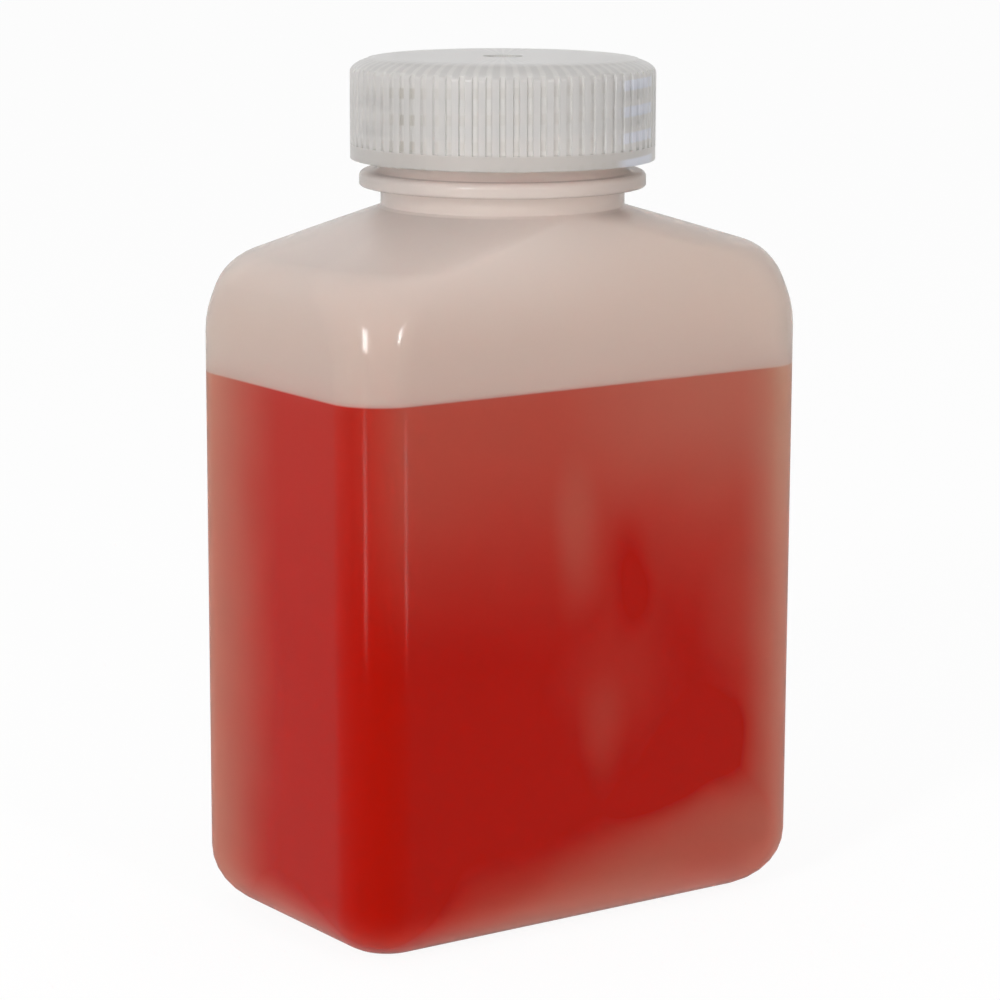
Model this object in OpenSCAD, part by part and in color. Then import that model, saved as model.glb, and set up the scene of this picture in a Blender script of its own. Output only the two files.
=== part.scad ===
// Rectangular media bottle: a blow-moulded bottle with soft lofted shoulders and a round
// screw neck, its ribbed screw cap, and the red medium that fills it.
// Millimetres, +Z up. The origin is the middle of the base, on the surface it stands on.
// X runs along the broad face and Y through the bottle from broad face to broad face.

/* [Body] */
// Width of the bottle across its broad face
body_w = 90; // [80:1:110]
// Depth of the bottle across its narrow face
body_d = 54.5; // [50:0.5:70]
// Wall thickness of the blown body
wall = 1.3; // [0.8:0.1:2]
// Radius of the four upright corners
corner_r = 9; // [6:0.5:12]
// Radius where the sides turn under into the base
heel_r = 10; // [6:0.2:12]
// Corner radius that is left where the heel meets the base
foot_corner_r = 3.5; // [2:0.5:6]
// Width of the flat rim that the bottle stands on
foot_rim = 4; // [2:0.5:6]
// Depth of the shallow push-up inside that rim
push_up = 1.4; // [0.8:0.1:2]

/* [Shoulder] */
// Height at which the shoulder meets the neck
neck_z = 118.3; // [110:0.1:150]
// Height of the shoulder, from where the broad faces begin to lean in
shoulder_h = 20.6; // [16:0.1:26]
// Radius that turns each narrow end over into the shoulder
end_arc_r = 5.6; // [4:0.1:8]
// Slope of the shoulder from the narrow ends to the neck, in degrees from level
end_slope = 17.8; // [14:0.2:22]

/* [Neck] */
// Outside diameter of the neck
neck_d = 40.4; // [38:0.1:41]
// Wall thickness of the neck
neck_wall = 1.8; // [1.4:0.1:2.4]
// Radius where the neck rises out of the shoulder
neck_fillet = 1; // [0.6:0.1:1.4]
// Diameter of the flange round the neck
flange_d = 47.5; // [44:0.5:50]
// Thickness of the flange
flange_t = 2.5; // [1.8:0.1:3.2]
// Height of the flange above the foot of the neck
flange_rise = 3.2; // [2:0.1:4]
// Radius of the cove between the flange's upper face and the neck
flange_cove = 1.5; // [0.6:0.1:1.6]
// Height of the lip above the foot of the neck
lip_rise = 21.9; // [21:0.1:26]

/* [Thread] */
// Distance from turn to turn, which is six turns to the inch
thread_pitch = 4.233; // [3.6:0.001:4.6]
// Number of turns on the neck
thread_turns = 2.4; // [1.5:0.1:2.6]
// Height of the thread's crest above the neck
thread_depth = 1.7; // [1:0.1:2]

/* [Cap] */
// Outside diameter of the cap
cap_d = 50.4; // [50:0.2:56]
// Height of the cap's lower edge above the foot of the neck
cap_rise = 7.6; // [7:0.1:8.4]
// Thickness of the cap's skirt at its ribs
skirt_t = 2; // [1.6:0.1:2.2]
// Thickness of the cap's top
top_t = 2.4; // [1.8:0.1:3]
// Distance in from the rim over which the top is rounded down
edge_w = 5.5; // [3:0.1:6]
// Height over which it comes down
edge_h = 2.4; // [1.4:0.1:2.8]
// Number of ribs round the cap
rib_count = 72; // [48:4:96]
// Depth of the grooves between the ribs
groove_depth = 0.45; // [0.2:0.05:0.6]
// Share of each rib's pitch that its groove takes
groove_share = 0.5; // [0.3:0.05:0.7]
// Height of the plain band under the ribs
band_h = 2.5; // [1.5:0.1:4]
// Depth that the sealing ring reaches into the neck
seal_depth = 3.2; // [2:0.1:4]
// Wall thickness of the sealing ring
seal_t = 1.1; // [0.8:0.1:1.5]

/* [Contents] */
// Height of the liquid's surface
fill_z = 91; // [20:1:95]

/* [Hidden] */

$fn = 96;
CORNER_STEPS = 12;                      // facets round one upright corner
HEEL_STEPS = 8;                         // facets up the heel
THREAD_STEPS = 40;                      // facets in one turn of the thread
EASE = 0.05;                            // gap between surfaces that must not share space

neck_r = neck_d / 2;
bore_r = neck_r - neck_wall;
flange_z = neck_z + flange_rise;
lip_z = neck_z + lip_rise;
cap_r = cap_d / 2;
cap_z = neck_z + cap_rise;
roof_z = lip_z + EASE;                  // underside of the cap's top
cap_top_z = roof_z + top_t;
floor_z = push_up + wall;               // inside of the bottle's base

// ---- Outline of the body: half of a side's length at a height ----

// A broad side: upright to height z0, then one arc that comes in to radius r at height z1
function broad_half(z, half, r, z0, z1) =
    let (dx = half - r,
         dz = z1 - z0,
         arc = (dx * dx + dz * dz) / (2 * dx),
         up = max(0, z - z0))
    half - arc + sqrt(arc * arc - up * up);

// Height at which a narrow end begins to turn over, so that its slope comes in to radius r at z1
function turn_z(half, r, z1, arc) =
    z1 - (half - arc + arc * sin(end_slope) - r) * tan(end_slope) - arc * cos(end_slope);

// A narrow end: upright, then a small arc, then a straight slope
function end_half(z, half, r, z1, arc) =
    let (up = z - turn_z(half, r, z1, arc))
    up <= 0 ? half
    : up <= arc * cos(end_slope) ? half - arc + sqrt(arc * arc - up * up)
    : r + (z1 - z) / tan(end_slope);

shoulder_z = min(neck_z - shoulder_h, turn_z(body_w / 2, neck_r, neck_z, end_arc_r) - 1);
level_z = min(fill_z, shoulder_z - 2);

// ---- Sections of the body: [half length in X, half length in Y, corner radius, height] ----

// Points round one section, anticlockwise seen from above
function section_points(s) =
    [for (quarter = [0:3], step = [0:CORNER_STEPS])
        let (a = 90 * (quarter + step / CORNER_STEPS),
             sx = (quarter == 0 || quarter == 3) ? 1 : -1,
             sy = quarter < 2 ? 1 : -1)
        [sx * (s[0] - s[2]) + s[2] * cos(a), sy * (s[1] - s[2]) + s[2] * sin(a), s[3]]];

// The heel of the skin that lies t inside the body's outside, from height low to the upright sides
function heel_sections(t, low) =
    let (foot_r = max(foot_corner_r - t, 1))
    [for (i = [0:HEEL_STEPS])
        let (a = 90 * i / HEEL_STEPS,
             in = t + (heel_r - t) * (1 - sin(a)))
        [body_w / 2 - in,
         body_d / 2 - in,
         corner_r - t + (foot_r - corner_r + t) * (1 - sin(a)),
         heel_r - (heel_r - low) * cos(a)]];

// Heights of the shoulder's sections under its top, close together where the narrow ends turn over
function shoulder_heights(turn, arc, z1) =
    let (slope_z = turn + arc * cos(end_slope))
    concat([for (i = [0:3]) shoulder_z + (turn - shoulder_z) * i / 4],
           [for (a = [0:12:60]) turn + arc * sin(a)],
           [for (i = [0:4]) slope_z + (z1 - slope_z) * i / 5]);

// Share of the way from the upright corners' radius to the neck's, which starts off gently
function rounding(t) =
    let (gentle = 0.3)
    (t < gentle ? t * t / (2 * gentle) : t - gentle / 2) / (1 - gentle / 2);

// The shoulder of that skin, which turns from the rectangle into a circle of radius r at height z1
function shoulder_sections(t, r, z1) =
    let (half_x = body_w / 2 - t,
         half_y = body_d / 2 - t,
         arc = end_arc_r - t)
    concat([for (z = shoulder_heights(turn_z(half_x, r, z1, arc), arc, z1))
               [end_half(z, half_x, r, z1, arc),
                broad_half(z, half_y, r, shoulder_z, z1),
                corner_r - t + (r - corner_r + t) * rounding((z - shoulder_z) / (z1 - shoulder_z)),
                z]],
           [[r, r, r, z1]]);

// A closed solid through a list of sections
module loft(sections) {
    n = 4 * (CORNER_STEPS + 1);
    last = len(sections) - 1;
    polyhedron(
        points = [for (s = sections) each section_points(s)],
        faces = concat(
            [[for (i = [0:n - 1]) i]],
            [for (k = [0:last - 1], i = [0:n - 1])
                let (j = (i + 1) % n, low = k * n, high = low + n)
                [low + i, high + i, high + j, low + j]],
            [[for (i = [0:n - 1]) last * n + n - 1 - i]]),
        convexity = 4);
}

// ---- Bottle ----

// The outside of the body: push-up, foot rim, heel, shoulder and the fillet at the neck
module body_outside() {
    rim_x = body_w / 2 - heel_r;
    rim_y = body_d / 2 - heel_r;
    ledge = foot_rim + push_up;
    ledge_r = 6;                        // corner radius of the push-up's edge
    fillet_top = neck_z + neck_fillet / 2;
    loft(concat(
        [[rim_x - ledge, rim_y - ledge, ledge_r - push_up, push_up],
         [rim_x - foot_rim, rim_y - foot_rim, ledge_r, 0]],
        heel_sections(0, 0),
        shoulder_sections(0, neck_r + neck_fillet * (1 - sin(30)), fillet_top - neck_fillet * cos(30)),
        [for (a = [45, 60])
            let (r = neck_r + neck_fillet * (1 - sin(a)))
            [r, r, r, fillet_top - neck_fillet * cos(a)]],
        [[neck_r - 0.3, neck_r - 0.3, neck_r - 0.3, fillet_top - 0.1]]));
}

// The hollow of the body, which runs a little way into the bore
module body_inside() {
    reach = 0.4;
    loft(concat(
        heel_sections(wall, floor_z),
        shoulder_sections(wall, bore_r - reach,
                          neck_z - wall / cos(end_slope) + (neck_wall + reach) * tan(end_slope))));
}

// Points of an arc about [x, z], with a radius in X and one in Z
function arc_points(x, z, rx, rz, from, to, steps) =
    [for (i = [0:steps])
        let (a = from + (to - from) * i / steps)
        [x + rx * cos(a), z + rz * sin(a)]];

// Neck and flange, turned about Z, still without the bore
module neck() {
    top_r = 1;
    low_r = 0.4;
    lip_r = 0.5;
    rim = flange_d / 2;
    rotate_extrude()
        polygon(concat(
            [[0, neck_z - 1], [neck_r, neck_z - 1], [neck_r, flange_z]],
            arc_points(rim - low_r, flange_z + low_r, low_r, low_r, -90, 0, 3),
            arc_points(rim - top_r, flange_z + flange_t - top_r, top_r, top_r, 0, 90, 5),
            arc_points(neck_r + flange_cove, flange_z + flange_t + flange_cove,
                       flange_cove, flange_cove, -90, -180, 5),
            arc_points(neck_r - lip_r, lip_z - lip_r, lip_r, lip_r, 0, 90, 3),
            [[0, lip_z]]));
}

// The bore, which flares a little at the lip
module bore() {
    flare = 0.4;
    rotate_extrude()
        polygon([[0, neck_z - 3], [bore_r, neck_z - 3], [bore_r, lip_z - flare],
                 [bore_r + flare, lip_z + EASE], [0, lip_z + EASE]]);
}

// One right-hand thread ridge, which rises out of the neck and sinks back into it at its ends
module neck_thread() {
    base_w = 2.2;
    crest_w = 0.8;
    sunk = 0.5;                         // depth of the ridge's root inside the neck's wall
    fade = 30;                          // degrees over which an end rises to full height
    top = lip_z - 2.6;
    sweep = 360 * thread_turns;
    steps = ceil(THREAD_STEPS * thread_turns);
    polyhedron(
        points = [for (i = [0:steps])
            let (a = sweep * i / steps,
                 z = top - thread_pitch * (sweep - a) / 360,
                 rise = min(1, a / fade, (sweep - a) / fade),
                 crest = neck_r - sunk / 2 + (thread_depth + sunk / 2) * rise)
            each [for (p = [[neck_r - sunk, -base_w / 2], [crest, -crest_w / 2],
                            [crest, crest_w / 2], [neck_r - sunk, base_w / 2]])
                [p[0] * cos(a), p[0] * sin(a), z + p[1]]]],
        faces = concat(
            [[3, 2, 1, 0]],
            [for (i = [0:steps - 1], k = [0:3])
                let (near = 4 * i, far = near + 4, m = (k + 1) % 4)
                [near + k, near + m, far + m, far + k]],
            [[for (k = [0:3]) 4 * steps + k]]),
        convexity = 8);
}

// The weld left across the push-up where the mould pinched the tube off
module pinch_line() {
    length = body_w / 2;
    depth = 0.5;
    translate([-length / 2, 0, push_up + 0.2])
        rotate([90, 0, 90])
            linear_extrude(length)
                polygon([[-0.9, 0], [-0.3, -depth - 0.2], [0.3, -depth - 0.2], [0.9, 0]]);
}

module bottle() {
    color("#c9bab3")
    difference() {
        union() {
            body_outside();
            neck();
            neck_thread();
            pinch_line();
        }
        body_inside();
        bore();
    }
}

// ---- Cap ----

// Half of the cap's section: top, sealing ring, skirt and rounded edges
module cap_section() {
    seal_r = bore_r - EASE;
    seal_z = roof_z - seal_depth;
    lead = 0.5;
    skirt_r = cap_r - skirt_t;
    chamfer = 0.4;
    rim_r = 0.2;
    panel_r = cap_r - edge_w;
    edge_z = cap_top_z - edge_h;
    step_a = 60;                        // degrees up the rounding at which the step stands
    step_h = 0.15;
    polygon(concat(
        [[0, roof_z], [seal_r - seal_t, roof_z], [seal_r - seal_t, seal_z], [seal_r - lead, seal_z],
         [seal_r, seal_z + 2 * lead], [seal_r, roof_z], [skirt_r, roof_z],
         [skirt_r, cap_z + chamfer], [skirt_r + chamfer, cap_z]],
        arc_points(cap_r - rim_r, cap_z + rim_r, rim_r, rim_r, -90, 0, 3),
        arc_points(panel_r, edge_z - step_h, edge_w, edge_h, 0, step_a, 7),
        arc_points(panel_r - step_h, edge_z, edge_w, edge_h, step_a, 90, 4),
        [[0, cap_top_z]]));
}

// What is cut away between the ribs: a ring whose inner edge dips in at each groove
module rib_grooves() {
    pitch = 360 / rib_count;
    low_z = cap_z + band_h;
    clear = 0.5;
    translate([0, 0, low_z])
        linear_extrude(cap_top_z - low_z)
            difference() {
                circle(r = cap_r + 2 * clear);
                polygon([for (i = [0:rib_count - 1],
                              p = [[-groove_share / 2, cap_r + clear],
                                   [-groove_share / 2, cap_r],
                                   [-groove_share / 3, cap_r - groove_depth],
                                   [groove_share / 3, cap_r - groove_depth],
                                   [groove_share / 2, cap_r],
                                   [groove_share / 2, cap_r + clear]])
                    [p[1] * cos(pitch * (i + p[0])), p[1] * sin(pitch * (i + p[0]))]]);
            }
}

module cap() {
    gate_d = 6.6;
    gate_depth = 0.5;
    color("#bfbdb9")
    difference() {
        rotate_extrude() cap_section();
        rib_grooves();
        translate([0, 0, cap_top_z - gate_depth])
            cylinder(d = gate_d, h = 1);
    }
}

// ---- Contents ----

// The liquid, which climbs a little where it meets the wall
module medium() {
    skin = wall + EASE;
    climb = 0.6;
    edge = 1.6;
    half_x = body_w / 2 - skin;
    half_y = body_d / 2 - skin;
    round = corner_r - skin;
    color("#a81a08")
    loft(concat(
        heel_sections(skin, floor_z),
        [[half_x, half_y, round, level_z + climb],
         [half_x - edge / 3, half_y - edge / 3, round - edge / 3, level_z + climb / 4],
         [half_x - edge, half_y - edge, round - edge, level_z]]));
}

bottle();
cap();
medium();
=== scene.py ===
# %% [markdown]
# # A rectangular media bottle, dressed in Blender
# The construction model gives three solids in one frame: a blown bottle with a threaded neck, its
# ribbed screw cap, and the red medium inside. This lesson keeps their shapes and places. It gives
# them smooth surfaces, adds the thread inside the cap, and builds three materials: natural blown
# polyethylene, natural moulded polypropylene and a red liquid. A plain white studio comes last.

# %% Load the frame
from math import ceil, cos, pi, radians, sin

import bpy
from mathutils import Matrix, Vector


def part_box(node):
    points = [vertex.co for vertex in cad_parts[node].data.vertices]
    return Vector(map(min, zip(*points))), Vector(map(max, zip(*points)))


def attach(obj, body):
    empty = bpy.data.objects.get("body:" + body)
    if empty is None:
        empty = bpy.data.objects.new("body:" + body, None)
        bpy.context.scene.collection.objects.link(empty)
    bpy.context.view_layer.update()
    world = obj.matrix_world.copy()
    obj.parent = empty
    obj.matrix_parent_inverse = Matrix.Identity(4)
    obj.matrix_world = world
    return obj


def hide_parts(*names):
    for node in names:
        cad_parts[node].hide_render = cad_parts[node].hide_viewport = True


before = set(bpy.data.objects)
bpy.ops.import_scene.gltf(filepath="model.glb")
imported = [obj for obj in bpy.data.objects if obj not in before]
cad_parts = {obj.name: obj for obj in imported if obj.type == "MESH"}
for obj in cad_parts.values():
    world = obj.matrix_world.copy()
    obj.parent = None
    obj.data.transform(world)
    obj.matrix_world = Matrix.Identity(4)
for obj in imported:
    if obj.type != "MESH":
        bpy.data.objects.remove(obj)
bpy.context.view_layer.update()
MM = 0.001


# %% [markdown]
# ## Sizes
# Everything that is placed later hangs on a few heights and radii. They could all be typed in, but
# most are read from the boxes of the solids, so that a change in the construction carries through
# to the looks. The thread's pitch and start can't be read from a box, so they are repeated here.

# %% Sizes from the solids
body_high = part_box("bottle")[1]
cap_low, cap_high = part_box("cap")
medium_low, medium_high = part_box("medium")
half_x, half_y = body_high.x, body_high.y
lip_z = body_high.z
cap_r = cap_high.x
# On the wall, the red begins a little under the top of the medium
line_z = medium_high.z - 0.3 * MM
print("liquid line at", round(line_z / MM, 2), "mm, lip at", round(lip_z / MM, 2), "mm")

# %% Sizes of the closure
THREAD_PITCH = 4.233 * MM
THREAD_TURNS = 2.4
THREAD_TOP = lip_z - 2.6 * MM
SKIRT_WALL = 2.0 * MM
SKIRT_R = cap_r - SKIRT_WALL
RIB_COUNT = 72
print("cap radius", round(cap_r / MM, 2), "mm, inside its skirt", round(SKIRT_R / MM, 2), "mm")


# %% [markdown]
# ## The camera
# The camera stands a little above the bottle and off its near corner, with a long lens, so that
# both faces show and the uprights run in only slightly. It could be placed by typing a location and
# three angles. A turn, a tilt and a distance round a point on the bottle's axis are chosen instead,
# because that is how a camera on a stand is set, and each can be changed alone.

# %% Directions from a turn and a tilt
def bearing(turn, tilt=0):
    turn, tilt = radians(turn), radians(tilt)
    return Vector((sin(turn) * cos(tilt), -cos(turn) * cos(tilt), sin(tilt)))


def looking_back(point, direction, distance):
    return (Matrix.Translation(Vector(point) + direction * distance)
            @ direction.to_track_quat("Z", "Y").to_matrix().to_4x4())


print("straight in front is", [round(v, 3) for v in bearing(0)])

# %% Camera
CAMERA_TURN = -34.942
CAMERA_TILT = 10.974
CAMERA_DISTANCE = 589.85 * MM
CAMERA_AIM_Z = 68.31 * MM
CAMERA_ROLL = 0.204
CAMERA_NEAREST = 0.01
SENSOR_WIDTH = 36
LENS_SHARE = 3.5030
FRAME_SHIFT = -0.00145
camera_data = bpy.data.cameras.new("camera")
camera_data.sensor_width = SENSOR_WIDTH
camera_data.lens = LENS_SHARE * SENSOR_WIDTH
camera_data.shift_x = FRAME_SHIFT
camera_data.clip_start = CAMERA_NEAREST
camera = bpy.data.objects.new("camera", camera_data)
camera.matrix_world = (looking_back((0, 0, CAMERA_AIM_Z), bearing(CAMERA_TURN, CAMERA_TILT),
                                    CAMERA_DISTANCE)
                       @ Matrix.Rotation(radians(CAMERA_ROLL), 4, "Z"))
bpy.context.scene.collection.objects.link(camera)
bpy.context.scene.camera = camera
print("lens", round(camera_data.lens, 1), "mm, at", [round(v, 3) for v in camera.location])


# %% [markdown]
# ## Smooth skins
# The solids come as loose triangles, which would shade as facets. They could be modelled again, but
# their shapes are already right, so a copy of each is merged into one skin. Its soft edges are
# shaded smooth and its sharp ones stay sharp, and weighted normals keep the flat faces flat right
# up to their rounded corners. The copy stands in for its solid, which the physics keeps.

# %% Copy each solid as one smooth skin
MERGE_DISTANCE = 0.002 * MM


def smooth_skin(node, piece_name, sharp_angle):
    bpy.ops.object.select_all(action="DESELECT")
    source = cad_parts[node]
    piece = source.copy()
    piece.data = source.data.copy()
    piece.name = piece_name
    for key in [k for k in piece.keys() if k.startswith("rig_")]:
        del piece[key]
    bpy.context.scene.collection.objects.link(piece)
    piece.parent = None
    bpy.context.view_layer.objects.active = piece
    piece.select_set(True)
    bpy.ops.mesh.customdata_custom_splitnormals_clear()
    bpy.ops.object.mode_set(mode="EDIT")
    bpy.ops.mesh.select_all(action="SELECT")
    bpy.ops.mesh.remove_doubles(threshold=MERGE_DISTANCE)
    bpy.ops.object.mode_set(mode="OBJECT")
    bpy.ops.object.shade_smooth_by_angle(angle=radians(sharp_angle))
    weighted = piece.modifiers.new("flat_faces_stay_flat", "WEIGHTED_NORMAL")
    weighted.keep_sharp = True
    bpy.ops.object.modifier_apply(modifier=weighted.name)
    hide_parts(node)
    print(piece_name, len(piece.data.vertices), "vertices,", len(piece.data.polygons), "faces")
    return piece


wall = smooth_skin("bottle", "bottle_wall", 32)
closure = smooth_skin("cap", "screw_cap", 32)
liquid = smooth_skin("medium", "red_liquid", 40)


# %% [markdown]
# ## The thread inside the cap
# The cap grips the neck with a thin ridge that runs up inside its skirt, half a pitch away from the
# neck's own. A curve with a bevel could follow the spiral, but a Screw modifier takes the pitch and
# the turns as plain numbers. The ridge's outline starts as an upright plane whose inner edge is
# narrowed to the crest. Its outer edge is sunk a little into the skirt, so that no gap can show.

# %% Sizes of the ridge
CAP_THREAD_TURNS = 1.9
CAP_THREAD_DEPTH = 1.75 * MM
CAP_THREAD_ROOT = 2.1 * MM
CAP_THREAD_CREST = 0.8 * MM
CAP_THREAD_SUNK = 0.1 * MM
root_r = SKIRT_R + CAP_THREAD_SUNK
crest_r = SKIRT_R - CAP_THREAD_DEPTH
middle_r = (root_r + crest_r) / 2
start_z = THREAD_TOP - THREAD_PITCH * (THREAD_TURNS - 0.5)
print("ridge from radius", round(root_r / MM, 2), "in to", round(crest_r / MM, 2), "mm")

# %% Outline of the ridge
bpy.ops.object.select_all(action="DESELECT")
bpy.ops.mesh.primitive_plane_add(size=1, location=(middle_r, 0, start_z), rotation=(pi / 2, 0, 0))
cap_thread = bpy.context.object
cap_thread.name = "cap_thread"
cap_thread.scale = (root_r - crest_r, CAP_THREAD_ROOT, 1)
bpy.ops.object.transform_apply(location=True, rotation=True, scale=True)
bpy.ops.object.mode_set(mode="EDIT")
bpy.ops.mesh.select_all(action="SELECT")
bpy.ops.mesh.delete(type="ONLY_FACE")
bpy.ops.mesh.select_mode(type="VERT")
bpy.ops.mesh.select_all(action="DESELECT")
bpy.ops.object.mode_set(mode="OBJECT")
for corner in cap_thread.data.vertices:
    corner.select = corner.co.x < middle_r
bpy.ops.object.mode_set(mode="EDIT")
bpy.ops.transform.resize(value=(1, 1, CAP_THREAD_CREST / CAP_THREAD_ROOT),
                         center_override=(crest_r, 0, start_z))
bpy.ops.object.mode_set(mode="OBJECT")
print("outline in mm", [[round(v / MM, 2) for v in c.co] for c in cap_thread.data.vertices])

# %% Sweep the outline and close its ends
STEPS_IN_A_TURN = 48
screw = cap_thread.modifiers.new("helix", "SCREW")
screw.axis = "Z"
screw.angle = 2 * pi * CAP_THREAD_TURNS
screw.screw_offset = THREAD_PITCH * CAP_THREAD_TURNS
screw.steps = screw.render_steps = ceil(STEPS_IN_A_TURN * CAP_THREAD_TURNS)
screw.use_merge_vertices = False
bpy.ops.object.modifier_apply(modifier=screw.name)
bpy.ops.object.mode_set(mode="EDIT")
bpy.ops.mesh.select_all(action="SELECT")
bpy.ops.mesh.fill_holes(sides=4)
bpy.ops.mesh.select_all(action="SELECT")
bpy.ops.mesh.normals_make_consistent(inside=False)
bpy.ops.object.mode_set(mode="OBJECT")
bpy.ops.object.shade_smooth_by_angle(angle=radians(30))
print("cap thread", len(cap_thread.data.polygons), "faces")


# %% [markdown]
# ## Colours and nodes
# Each finish below is a small tree of nodes. Every node could be added and linked in lines of its
# own, but one short function does that for them all, so each pattern stays easy to read. Colours
# are picked as sRGB hex values, as in any paint program. Blender's sockets want linear light, so
# another function turns the first into the second.

# %% From hex to linear light
def linear(hex_colour):
    channels = [int(hex_colour[i:i + 2], 16) / 255 for i in (1, 3, 5)]
    return [c / 12.92 if c <= 0.04045 else ((c + 0.055) / 1.055) ** 2.4 for c in channels] + [1.0]


WHITE = linear("#ffffff")
print("a mid grey of #808080 is", round(linear("#808080")[0], 3), "in linear light")


# %% Add a node, start a material
def add(tree, kind, inputs=None, **settings):
    node = tree.nodes.new(kind)
    for name, value in settings.items():
        setattr(node, name, value)
    for name, value in (inputs or {}).items():
        if isinstance(value, bpy.types.NodeSocket):
            tree.links.new(value, node.inputs[name])
        else:
            node.inputs[name].default_value = value
    return node


def new_material(name, shader_values):
    material = bpy.data.materials.new(name)
    material.use_nodes = True
    tree = material.node_tree
    tree.nodes.clear()
    shader = add(tree, "ShaderNodeBsdfPrincipled", shader_values)
    add(tree, "ShaderNodeOutputMaterial", {"Surface": shader.outputs[0]})
    place = add(tree, "ShaderNodeTexCoord").outputs["Object"]
    axes = add(tree, "ShaderNodeSeparateXYZ", {0: place})
    print(name, "with", shader_values)
    return material, tree, shader, place, axes


print("helpers made:", add.__name__, "and", new_material.__name__)


# %% [markdown]
# ## The wall: natural blown polyethylene
# A soft tube of natural polyethylene is blown out against a cold satin mould. The plastic is milky:
# light that enters it scatters and leaves again near by, so the empty part of the wall looks like
# frosted, warm grey glass. A volume inside the wall could scatter the light, but it is slow and
# grainy. Rough transmission gives the same soft milk, and a thin coat adds the satin highlights.

# %% Start the wall's material
# Polyethylene bends light by about 1.5. Its own reflection is off, because the coat draws that
polyethylene, tree, shader, place, axes = new_material(
    "natural_blown_polyethylene",
    {"Roughness": 0.6, "IOR": 1.5, "Specular Tint": (0, 0, 0, 1), "Transmission Weight": 0.8,
     "Coat Roughness": 0.13})


# %% [markdown]
# ## Boundaries that wander
# Blown plastic is never quite even, so nothing on the real wall ends in a clean line. Each boundary
# could be roughened on its own. It is simpler to move the point at which they are all read: a
# coarse noise shifts it a few millimetres to and fro, and every pattern wanders with it.

# %% Wandering point
UNEVEN_SIZE = 22 * MM
UNEVEN_SHIFT = 7 * MM
UNEVEN_DETAIL = 1.5
NOISE_MIDDLE = (0.5, 0.5, 0.5)
uneven = add(tree, "ShaderNodeTexNoise",
             {"Vector": place, "Scale": 1 / UNEVEN_SIZE, "Detail": UNEVEN_DETAIL})
wander = add(tree, "ShaderNodeVectorMath", {0: uneven.outputs["Color"], 1: NOISE_MIDDLE},
             operation="SUBTRACT")
wander = add(tree, "ShaderNodeVectorMath", {0: wander.outputs[0], 1: (UNEVEN_SHIFT,) * 3},
             operation="MULTIPLY")
near = add(tree, "ShaderNodeVectorMath", {0: place, 1: wander.outputs[0]},
           operation="ADD").outputs[0]
near_axes = add(tree, "ShaderNodeSeparateXYZ", {0: near})
print("a full swing of the noise moves a boundary by", UNEVEN_SHIFT / MM, "mm")


# %% [markdown]
# ## The veil over the red
# Where the medium wets the wall, the light comes back red, and the milky plastic lays a thin pale
# veil over it. How dense the veil looks from place to place is painted light: paler where painted
# reflections of the bright studio lie on it, deeper red where painted shade does. The solid's wall
# is equally thick all over, so this unevenness is drawn in the material alone. It could be painted
# on the mesh by hand, but ramps and patches with real sizes can be measured and moved. The first
# ramp lets a painted reflection grow up towards the medium's surface, though little on the narrow
# faces.

# %% The veil and a painted reflection grow upwards
REFLECTION_FOOT_Z, REFLECTION_TOP_Z = 46 * MM, 91 * MM
REFLECTION_AT_TOP = 0.125
BROAD_FACE_X, NARROW_FACE_X = 38 * MM, 44 * MM
NARROW_FACE_SHARE = 0.2
veil_and_reflection = add(tree, "ShaderNodeMapRange",
           {"Value": near_axes.outputs["Z"], "From Min": REFLECTION_FOOT_Z, "From Max": REFLECTION_TOP_Z,
            "To Max": REFLECTION_AT_TOP}, interpolation_type="SMOOTHSTEP").outputs[0]
off_middle = add(tree, "ShaderNodeMath", {0: axes.outputs["X"]}, operation="ABSOLUTE").outputs[0]
narrow_side = add(tree, "ShaderNodeMapRange",
                {"Value": off_middle, "From Min": BROAD_FACE_X, "From Max": NARROW_FACE_X,
                 "To Min": 1, "To Max": NARROW_FACE_SHARE})
veil_and_reflection = add(tree, "ShaderNodeMath", {0: veil_and_reflection, 1: narrow_side.outputs[0]},
           operation="MULTIPLY").outputs[0]
print("veil grows from", REFLECTION_FOOT_Z / MM, "to", REFLECTION_TOP_Z / MM, "mm up")


# %% [markdown]
# ## The pale heel, a painted reflection of the floor
# The plastic is thick round the foot of a blown bottle, but the paler heel drawn here is a painted
# reflection of the white floor, and its boundary is seldom level. A ramp on height alone would look
# ruled, so this one is measured along a leaning direction, and the heel climbs towards one end.

# %% Heel, a painted reflection of the floor
HEEL_LEAN = (-0.24, -0.15, 1)
HEEL_TOP, HEEL_FULL = 24 * MM, 7 * MM
HEEL_AMOUNT = 0.2
slant = add(tree, "ShaderNodeVectorMath", {0: near, 1: HEEL_LEAN}, operation="DOT_PRODUCT")
painted_light = add(tree, "ShaderNodeMapRange",
            {"Value": slant.outputs["Value"], "From Min": HEEL_TOP, "From Max": HEEL_FULL,
             "To Max": HEEL_AMOUNT}, interpolation_type="SMOOTHSTEP").outputs[0]
print("heel is fully thick below", HEEL_FULL / MM, "mm, measured along its lean")


# %% [markdown]
# ## Pale corners and odd patches
# Two upright corners are paler all the way up, with painted sheen and back light. Here and there a
# patch is paler with a painted reflection, and some are deeper red with painted shade. A noise
# could scatter such patches anywhere. They are laid one by one instead, each a soft ellipsoid with
# a centre, three radii and an amount, because on a real bottle they have their own places. Corners
# and heel don't add up, so the larger of them counts.

# %% Painted light on two corners: centre, radii and amount of each
TALL = 1000 * MM
COLUMNS = [
    ((-half_x, half_y, 0), (30 * MM, 30 * MM, TALL), 0.27),
    ((half_x, -half_y, 0), (17 * MM, 17 * MM, TALL), 0.26),
]
PATCH_RIM, PATCH_CORE = 1.0, 0.1


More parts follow.
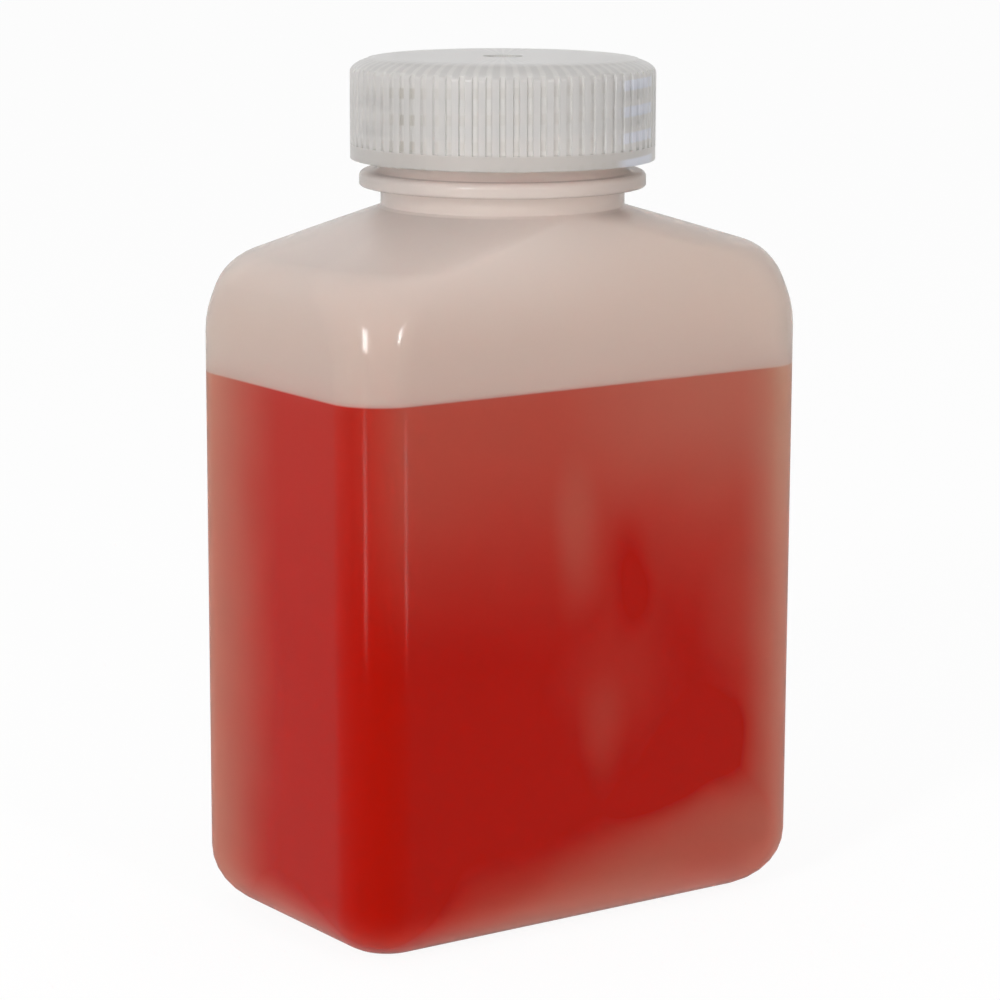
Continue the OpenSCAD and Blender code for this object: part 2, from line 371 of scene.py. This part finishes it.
def patch_amount(centre, radii, amount):
    offset = add(tree, "ShaderNodeVectorMath", {0: near, 1: centre}, operation="SUBTRACT")
    offset = add(tree, "ShaderNodeVectorMath", {0: offset.outputs[0], 1: radii},
                 operation="DIVIDE")
    reach = add(tree, "ShaderNodeVectorMath", {0: offset.outputs[0]}, operation="LENGTH")
    return add(tree, "ShaderNodeMapRange",
               {"Value": reach.outputs["Value"], "From Min": PATCH_RIM, "From Max": PATCH_CORE,
                "To Max": amount}, interpolation_type="SMOOTHSTEP").outputs[0]


for column in COLUMNS:
    painted_light = add(tree, "ShaderNodeMath", {0: painted_light, 1: patch_amount(*column)},
                operation="MAXIMUM").outputs[0]
veil_and_reflection = add(tree, "ShaderNodeMath", {0: veil_and_reflection, 1: painted_light}, operation="ADD").outputs[0]
print(len(COLUMNS), "thick corners")

# %% Odd patches, painted reflection where the amount is above nothing and painted shade where it is below
PATCHES = [
    ((half_x, -half_y, 78 * MM), (36 * MM, 36 * MM, 58 * MM), 0.05),
    ((18 * MM, -half_y, 92 * MM), (30 * MM, 30 * MM, 30 * MM), 0.07),
    ((-4 * MM, -half_y, 68 * MM), (7 * MM, 20 * MM, 16 * MM), 0.07),
    ((7 * MM, -half_y, 60 * MM), (6 * MM, 20 * MM, 13 * MM), -0.04),
    ((5 * MM, -half_y, 43 * MM), (15 * MM, 30 * MM, 18 * MM), 0.03),
    ((2 * MM, -half_y, 35 * MM), (6 * MM, 20 * MM, 13 * MM), 0.04),
    ((-half_x, -half_y, 0), (24 * MM, 24 * MM, 24 * MM), -0.12),
    ((26 * MM, -half_y, 6 * MM), (16 * MM, 20 * MM, 12 * MM), -0.04),
    ((32 * MM, -half_y, 50 * MM), (12 * MM, 20 * MM, 22 * MM), 0.045),
    ((14 * MM, -half_y, 21 * MM), (12 * MM, 20 * MM, 7 * MM), -0.06),
    ((24 * MM, -half_y, 27 * MM), (15 * MM, 20 * MM, 11 * MM), -0.065),
]
for patch in PATCHES:
    veil_and_reflection = add(tree, "ShaderNodeMath", {0: veil_and_reflection, 1: patch_amount(*patch)},
               operation="ADD").outputs[0]
print(len(PATCHES), "patches")


# %% [markdown]
# ## Wet and dry colours
# Below the liquid's line the wall shows the red through its veil and painted reflections, and above
# it the plain milky plastic. Up round the neck it is a little paler, from the thicker plastic there
# and from painted light on the side that faces the left window. Two materials with a cut between
# them could do it, but one material with a ramp keeps the wall in one piece. The ramp at the line
# is almost sharp, as the edge of a liquid is, and the ramp up to the neck is long and soft.

# %% The red under its veil and painted reflections
WET_WALL = linear("#de1e03")
VEIL_AND_REFLECTION = linear("#e7dabd")
VEIL_AND_REFLECTION_STRENGTH = 1.9
veil_and_reflection = add(tree, "ShaderNodeMath", {0: veil_and_reflection, 1: VEIL_AND_REFLECTION_STRENGTH}, operation="MULTIPLY",
           use_clamp=True).outputs[0]
red_under_veil_and_reflection = add(tree, "ShaderNodeMix", {0: veil_and_reflection, 6: WET_WALL, 7: VEIL_AND_REFLECTION}, data_type="RGBA")
print("wet wall", [round(c, 3) for c in WET_WALL[:3]], "veil_and_reflection", [round(c, 3) for c in VEIL_AND_REFLECTION[:3]])

# %% The dry wall, paler round the neck, with painted light towards the left window
DRY_WALL = linear("#eadcd2")
NECK_WALL = linear("#fcf5f0")
NECK_FOOT = lip_z - 22 * MM
NECK_BLEND_LOW, NECK_BLEND_HIGH = NECK_FOOT - 20 * MM, NECK_FOOT + 2 * MM
WARM_END_X, LIT_END_X = 26 * MM, -22 * MM
WARM_END_SHARE = 0.3
neck = add(tree, "ShaderNodeMapRange",
           {"Value": axes.outputs["Z"], "From Min": NECK_BLEND_LOW, "From Max": NECK_BLEND_HIGH},
           interpolation_type="SMOOTHSTEP").outputs[0]
# The end towards the left window is paler: painted light.
lit_end = add(tree, "ShaderNodeMapRange",
               {"Value": near_axes.outputs["X"], "From Min": WARM_END_X, "From Max": LIT_END_X,
                "To Min": WARM_END_SHARE}, interpolation_type="SMOOTHSTEP").outputs[0]
neck = add(tree, "ShaderNodeMath", {0: neck, 1: lit_end}, operation="MULTIPLY").outputs[0]
dry = add(tree, "ShaderNodeMix", {0: neck, 6: DRY_WALL, 7: NECK_WALL}, data_type="RGBA")
print("neck is palest from", round(NECK_BLEND_HIGH / MM, 1), "mm up")

# %% The line between them
LINE_BLUR = 0.2 * MM
wet = add(tree, "ShaderNodeMapRange",
          {"Value": axes.outputs["Z"], "From Min": line_z + LINE_BLUR,
           "From Max": line_z - LINE_BLUR}, interpolation_type="SMOOTHSTEP").outputs[0]
colour = add(tree, "ShaderNodeMix", {0: wet, 6: dry.outputs[2], 7: red_under_veil_and_reflection.outputs[2]},
             data_type="RGBA")
tree.links.new(colour.outputs[2], shader.inputs["Base Color"])
print("the line is", round(2 * LINE_BLUR / MM, 2), "mm soft")


# %% [markdown]
# ## Gloss of the wall
# The shoulder shows small bright spots, and the flat walls below it only faint lines, so it is
# taken to be glossier. That is partly a choice for the render: with a weak coat, the spots are lost
# when its noise is filtered. The roughness could change from one to the other, but it's the
# strength of the highlights that differs, so a ramp on height raises the weight of the coat.

# %% Coat weight
WALL_GLOSS = 0.06
SHOULDER_GLOSS = 0.35
GLOSS_LOW_Z, GLOSS_HIGH_Z = line_z - 2 * MM, line_z + 6 * MM
gloss = add(tree, "ShaderNodeMapRange",
            {"Value": near_axes.outputs["Z"], "From Min": GLOSS_LOW_Z, "From Max": GLOSS_HIGH_Z,
             "To Min": WALL_GLOSS, "To Max": SHOULDER_GLOSS}, interpolation_type="SMOOTHSTEP")
tree.links.new(gloss.outputs[0], shader.inputs["Coat Weight"])
print("coat weight", WALL_GLOSS, "below", SHOULDER_GLOSS, "above")


# %% [markdown]
# ## Ripple and grain
# Blown plastic ripples as it cools, and a satin mould leaves a fine grain on it. Both could be cut
# into the mesh, but they are far too shallow to change its outline, so a bump is enough. One
# function adds up layers of noise, each with its width and depth in real sizes. The real grain is
# too fine to show at this distance, so it is drawn coarser here.

# %% Relief of the wall
RIPPLE_SIZE = 12 * MM
RIPPLE_DEPTH = 0.06 * MM
GRAIN_SIZE = 0.9 * MM
GRAIN_DEPTH = 0.003 * MM


def add_relief(tree, shader, place, layers):
    height = 0.0
    for size, depth, detail in layers:
        noise = add(tree, "ShaderNodeTexNoise",
                    {"Vector": place, "Scale": 1 / size, "Detail": detail})
        height = add(tree, "ShaderNodeMath", {0: noise.outputs[0], 1: depth, 2: height},
                     operation="MULTIPLY_ADD").outputs[0]
    surface = add(tree, "ShaderNodeBump", {"Strength": 1, "Distance": 1, "Height": height})
    for socket in ("Normal", "Coat Normal"):
        tree.links.new(surface.outputs[0], shader.inputs[socket])
    print("relief", [(round(size / MM, 2), round(depth / MM, 4)) for size, depth, _ in layers])


def dress(piece, material):
    piece.data.materials.clear()
    piece.data.materials.append(material)
    print(piece.name, "is dressed in", material.name)


add_relief(tree, shader, place, [(RIPPLE_SIZE, RIPPLE_DEPTH, 0), (GRAIN_SIZE, GRAIN_DEPTH, 1)])
dress(wall, polyethylene)


# %% [markdown]
# ## The cap: natural moulded polypropylene
# The cap is injected into a steel mould. Natural polypropylene is milky as well, but its faces come
# out harder and smoother, so it looks paler and crisper than the bottle. The shader is built the
# same way as the wall's, with less roughness and less light let through.

# %% Start the cap's material
# Polypropylene bends light by 1.49. A fine satin lets it keep some reflection under the thin coat
polypropylene, tree, shader, place, axes = new_material(
    "natural_moulded_polypropylene",
    {"Roughness": 0.3, "IOR": 1.49, "Specular Tint": (0.4, 0.4, 0.4, 1),
     "Transmission Weight": 0.6, "Coat Weight": 0.05, "Coat Roughness": 0.2})


# %% [markdown]
# ## Ribs and the band at the cap's foot
# The ribs that fingers grip stop short of the foot, where a plain band runs round. Between the ribs
# the skirt is thin and lets more light through, and the band is thick and darker. Each groove could
# be given a material of its own, but a cosine of the angle round the cap finds all of them at once,
# because the ribs are evenly spaced.

# %% Grooves and band
CAP_PLAIN = linear("#dedcda")
CAP_THIN = linear("#ebe9e6")
CAP_BAND = linear("#cfcbc7")
GROOVE_RIM, GROOVE_FLOOR = -0.2, 0.7
BAND_EDGE_LOW, BAND_EDGE_HIGH = cap_low.z + 2.3 * MM, cap_low.z + 2.7 * MM
angle = add(tree, "ShaderNodeMath", {0: axes.outputs["Y"], 1: axes.outputs["X"]},
            operation="ARCTAN2")
grooves = add(tree, "ShaderNodeMath", {0: angle.outputs[0], 1: RIB_COUNT}, operation="MULTIPLY")
grooves = add(tree, "ShaderNodeMath", {0: grooves.outputs[0]}, operation="COSINE")
grooves = add(tree, "ShaderNodeMapRange",
              {"Value": grooves.outputs[0], "From Min": GROOVE_RIM, "From Max": GROOVE_FLOOR},
              interpolation_type="SMOOTHSTEP")
above_band = add(tree, "ShaderNodeMapRange",
                 {"Value": axes.outputs["Z"], "From Min": BAND_EDGE_LOW,
                  "From Max": BAND_EDGE_HIGH})
tint = add(tree, "ShaderNodeMix", {0: grooves.outputs[0], 6: CAP_PLAIN, 7: CAP_THIN},
           data_type="RGBA")
tint = add(tree, "ShaderNodeMix", {0: above_band.outputs[0], 6: CAP_BAND, 7: tint.outputs[2]},
           data_type="RGBA").outputs[2]
print(RIB_COUNT, "grooves,", round(2 * pi * cap_r / RIB_COUNT / MM, 2), "mm apart")


# %% [markdown]
# ## The thread seen through the skirt
# The neck's thread shows through the milky skirt as slanting bands: as shade in the grooves on one
# side, and as a cool sheen on another. The ridges inside are real pieces and come through a little,
# but this rough skirt blurs them. So the bands are also drawn in the plastic, by a cosine of height
# and angle together, which climbs exactly one pitch in a turn. Two given sides show them
# strongly, and the grooves all round show a small share. They rise with the cap.

# %% Slanting bands
THREAD_SEEN_Z = 133.65 * MM
THREAD_SEEN_TURN = -166
BANDS_EDGE, BANDS_FULL = 0.0, 0.6
LIP_BLUR = 0.4 * MM
climb = add(tree, "ShaderNodeMath",
            {0: axes.outputs["Z"], 1: 2 * pi / THREAD_PITCH,
             2: -2 * pi * THREAD_SEEN_Z / THREAD_PITCH + radians(THREAD_SEEN_TURN)},
            operation="MULTIPLY_ADD")
bands = add(tree, "ShaderNodeMath", {0: climb.outputs[0], 1: angle.outputs[0]},
            operation="SUBTRACT")
bands = add(tree, "ShaderNodeMath", {0: bands.outputs[0]}, operation="COSINE")
bands = add(tree, "ShaderNodeMapRange",
            {"Value": bands.outputs[0], "From Min": BANDS_EDGE, "From Max": BANDS_FULL},
            interpolation_type="SMOOTHSTEP")
below_lip = add(tree, "ShaderNodeMapRange",
                {"Value": axes.outputs["Z"], "From Min": lip_z, "From Max": lip_z - LIP_BLUR})
bands = add(tree, "ShaderNodeMath", {0: bands.outputs[0], 1: below_lip.outputs[0]},
            operation="MULTIPLY")
print("bands climb", round(THREAD_PITCH / MM, 3), "mm in a turn")

# %% Where the bands show
# Two soft patches fixed to the cap: painted shade of the thread in the grooves on one side, and a
# painted sheen on the other.
PAINTED_THREAD_SHADE = linear("#bdb8ac")
PAINTED_THREAD_SHEEN = linear("#e6e9f4")
# Each side: its direction, its reach in degrees, its colour, the share elsewhere, a further mask
THREAD_SIDES = [
    (bearing(-74), 14, PAINTED_THREAD_SHADE, 0.15, grooves),
    (bearing(27), 16, PAINTED_THREAD_SHEEN, 0.0, None),
]
for side, reach, side_colour, least, mask in THREAD_SIDES:
    facing = add(tree, "ShaderNodeVectorMath", {0: place, 1: side / cap_r},
                 operation="DOT_PRODUCT")
    facing = add(tree, "ShaderNodeMapRange",
                 {"Value": facing.outputs["Value"], "From Min": cos(radians(reach)),
                  "From Max": cos(radians(reach / 2)), "To Min": least},
                 interpolation_type="SMOOTHSTEP")
    shows = add(tree, "ShaderNodeMath", {0: bands.outputs[0], 1: facing.outputs[0]},
                operation="MULTIPLY")
    if mask:
        shows = add(tree, "ShaderNodeMath", {0: shows.outputs[0], 1: mask.outputs[0]},
                    operation="MULTIPLY")
    tint = add(tree, "ShaderNodeMix", {0: shows.outputs[0], 6: tint, 7: side_colour},
               data_type="RGBA").outputs[2]
tree.links.new(tint, shader.inputs["Base Color"])
print("bands show on", len(THREAD_SIDES), "sides")


# %% [markdown]
# ## Grain of the cap
# A moulded cap has no ripple, only the fine, even grain of its mould. The same relief function
# draws it, again coarser than it really is so that it shows. The thread inside is moulded in one
# shot with the cap, so it wears the same plastic.

# %% Relief of the cap
CAP_GRAIN_SIZE = 0.7 * MM
CAP_GRAIN_DEPTH = 0.006 * MM
add_relief(tree, shader, place, [(CAP_GRAIN_SIZE, CAP_GRAIN_DEPTH, 1)])
dress(closure, polypropylene)
dress(cap_thread, polypropylene)


# %% [markdown]
# ## The medium: a red liquid
# The medium is a watery liquid of a strong red, and it is only ever seen through the wall. A clear
# liquid would need its light traced through wall, liquid and wall again, for a red that is nearly
# flat behind the milk. A deep red solid with the index of water, 1.34, gives that at once. It is
# smooth, as a still liquid is, and hardly darker low down.

# %% Medium material
RED_AT_TOP = linear("#8f1504")
RED_AT_FOOT = linear("#8a1303")
red_medium, tree, shader, place, axes = new_material(
    "red_medium", {"Roughness": 0.1, "IOR": 1.34})
deep = add(tree, "ShaderNodeMapRange",
           {"Value": axes.outputs["Z"], "From Min": line_z, "From Max": medium_low.z})
depth_colour = add(tree, "ShaderNodeMix", {0: deep.outputs[0], 6: RED_AT_TOP, 7: RED_AT_FOOT},
                   data_type="RGBA")
tree.links.new(depth_colour.outputs[2], shader.inputs["Base Color"])
dress(liquid, red_medium)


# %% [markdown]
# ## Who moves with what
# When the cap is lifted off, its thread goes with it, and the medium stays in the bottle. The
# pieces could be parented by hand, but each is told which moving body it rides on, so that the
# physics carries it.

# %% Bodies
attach(wall, "bottle")
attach(liquid, "bottle")
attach(closure, "cap")
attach(cap_thread, "cap")
print("two pieces ride on the bottle and two on the cap")


# %% [markdown]
# ## The floor
# The bottle stands on white paper that runs out to a white horizon. Strong lamps could burn it
# white, but they would burn the bottle too. So the paper glows by itself, and only for rays that
# look at it: straight from the camera, in a reflection or through the plastic. A small share of
# plain paper is left in the mix, so that the bottle keeps a faint shadow.

# %% Round sheet
FLOOR_RADIUS = 4
FLOOR_CORNERS = 96
bpy.ops.object.select_all(action="DESELECT")
bpy.ops.mesh.primitive_circle_add(vertices=FLOOR_CORNERS, radius=FLOOR_RADIUS, fill_type="NGON")
floor = bpy.context.object
floor.name = "floor"
print("floor is", 2 * FLOOR_RADIUS, "m across")

# %% White paper that glows when it is looked at
PAPER = linear("#fafafa")
GLOW_SHARE = 0.92


def looked_at(tree):
    rays = add(tree, "ShaderNodeLightPath")
    seen = add(tree, "ShaderNodeMath", {0: rays.outputs["Is Camera Ray"],
                                        1: rays.outputs["Is Glossy Ray"]}, operation="MAXIMUM")
    return add(tree, "ShaderNodeMath", {0: seen.outputs[0],
                                        1: rays.outputs["Is Transmission Ray"]},
               operation="MAXIMUM").outputs[0]


floor_paint = bpy.data.materials.new("white_paper_floor")
floor_paint.use_nodes = True
tree = floor_paint.node_tree
tree.nodes.clear()
paper = add(tree, "ShaderNodeBsdfDiffuse", {"Color": PAPER})
glow = add(tree, "ShaderNodeEmission", {"Color": WHITE, "Strength": 1.0})
share = add(tree, "ShaderNodeMath", {0: looked_at(tree), 1: GLOW_SHARE}, operation="MULTIPLY")
paper_mix = add(tree, "ShaderNodeMixShader",
                {0: share.outputs[0], 1: paper.outputs[0], 2: glow.outputs[0]})
add(tree, "ShaderNodeOutputMaterial", {"Surface": paper_mix.outputs[0]})
dress(floor, floor_paint)


# %% [markdown]
# ## The sky
# An even white sky lights the bottle softly from all round, as a tent of white cloth does. Lamps on
# every side could do the same, with more shadows and more grain. The sky shows as full white, and
# it lights at less than that, so that the pale plastic keeps its colour.

# %% White sky
SKY_LIGHT = 0.7
SKY_SEEN = 1.0
world = bpy.data.worlds.new("studio")
bpy.context.scene.world = world
world.use_nodes = True
tree = world.node_tree
tree.nodes.clear()
strength = add(tree, "ShaderNodeMapRange",
               {"Value": looked_at(tree), "To Min": SKY_LIGHT, "To Max": SKY_SEEN})
sky = add(tree, "ShaderNodeBackground", {"Color": WHITE, "Strength": strength.outputs[0]})
add(tree, "ShaderNodeOutputWorld", {"Surface": sky.outputs[0]})
print("sky lights at", SKY_LIGHT, "and shows at", SKY_SEEN)


# %% [markdown]
# ## The lamps
# Two small windows, far off to the left and in front, leave the bright spots on the shoulder. Two
# faint strips close to the near corner draw the thin lines down it. Large windows could draw both,
# but they would flood the bottle with light, so the strips are hidden from diffuse and transmitted
# rays. Rough plastic still takes a little of their light with its gloss, so they are kept weak.

# %% Windows and strips, in metres and watts
SHOULDER_MIDDLE = (0, 0, 90 * MM)
NEAR_CORNER = (-half_x, -half_y, 36 * MM)
WINDOW_DISTANCE = 0.9
STRIP_DISTANCE = 0.175
STRIP_WIDTH, STRIP_HEIGHT = 0.024, 0.045


def lamp(name, direction, distance, width, height, power, around, only_gloss=False):
    data = bpy.data.lights.new(name, "AREA")
    data.shape = "RECTANGLE"
    data.size, data.size_y, data.energy = width, height, power
    holder = bpy.data.objects.new(name, data)
    holder.matrix_world = looking_back(around, direction, distance)
    holder.visible_camera = False
    if only_gloss:
        holder.visible_diffuse = False
        holder.visible_transmission = False
    bpy.context.scene.collection.objects.link(holder)
    print(name, power, "W at", [round(v, 3) for v in holder.matrix_world.translation])


lamp("left_window", bearing(-63, 19), WINDOW_DISTANCE, width=0.13, height=0.32, power=4.8,
     around=SHOULDER_MIDDLE)
lamp("right_window", bearing(-2, 19.5), WINDOW_DISTANCE, width=0.05, height=0.18, power=1.9,
     around=SHOULDER_MIDDLE)
for strip_name, strip_turn, strip_power in (("left_strip", -65, 0.07), ("right_strip", 23, 0.05)):
    lamp(strip_name, bearing(strip_turn), STRIP_DISTANCE, STRIP_WIDTH, STRIP_HEIGHT, strip_power,
         around=NEAR_CORNER, only_gloss=True)


# %% [markdown]
# ## The view
# The Standard view shows each colour about as it is written, where a filmic one would grey the
# white paper.

bpy.context.scene.view_settings.view_transform = "Standard"
print("view", bpy.context.scene.view_settings.view_transform, "and sizes written")
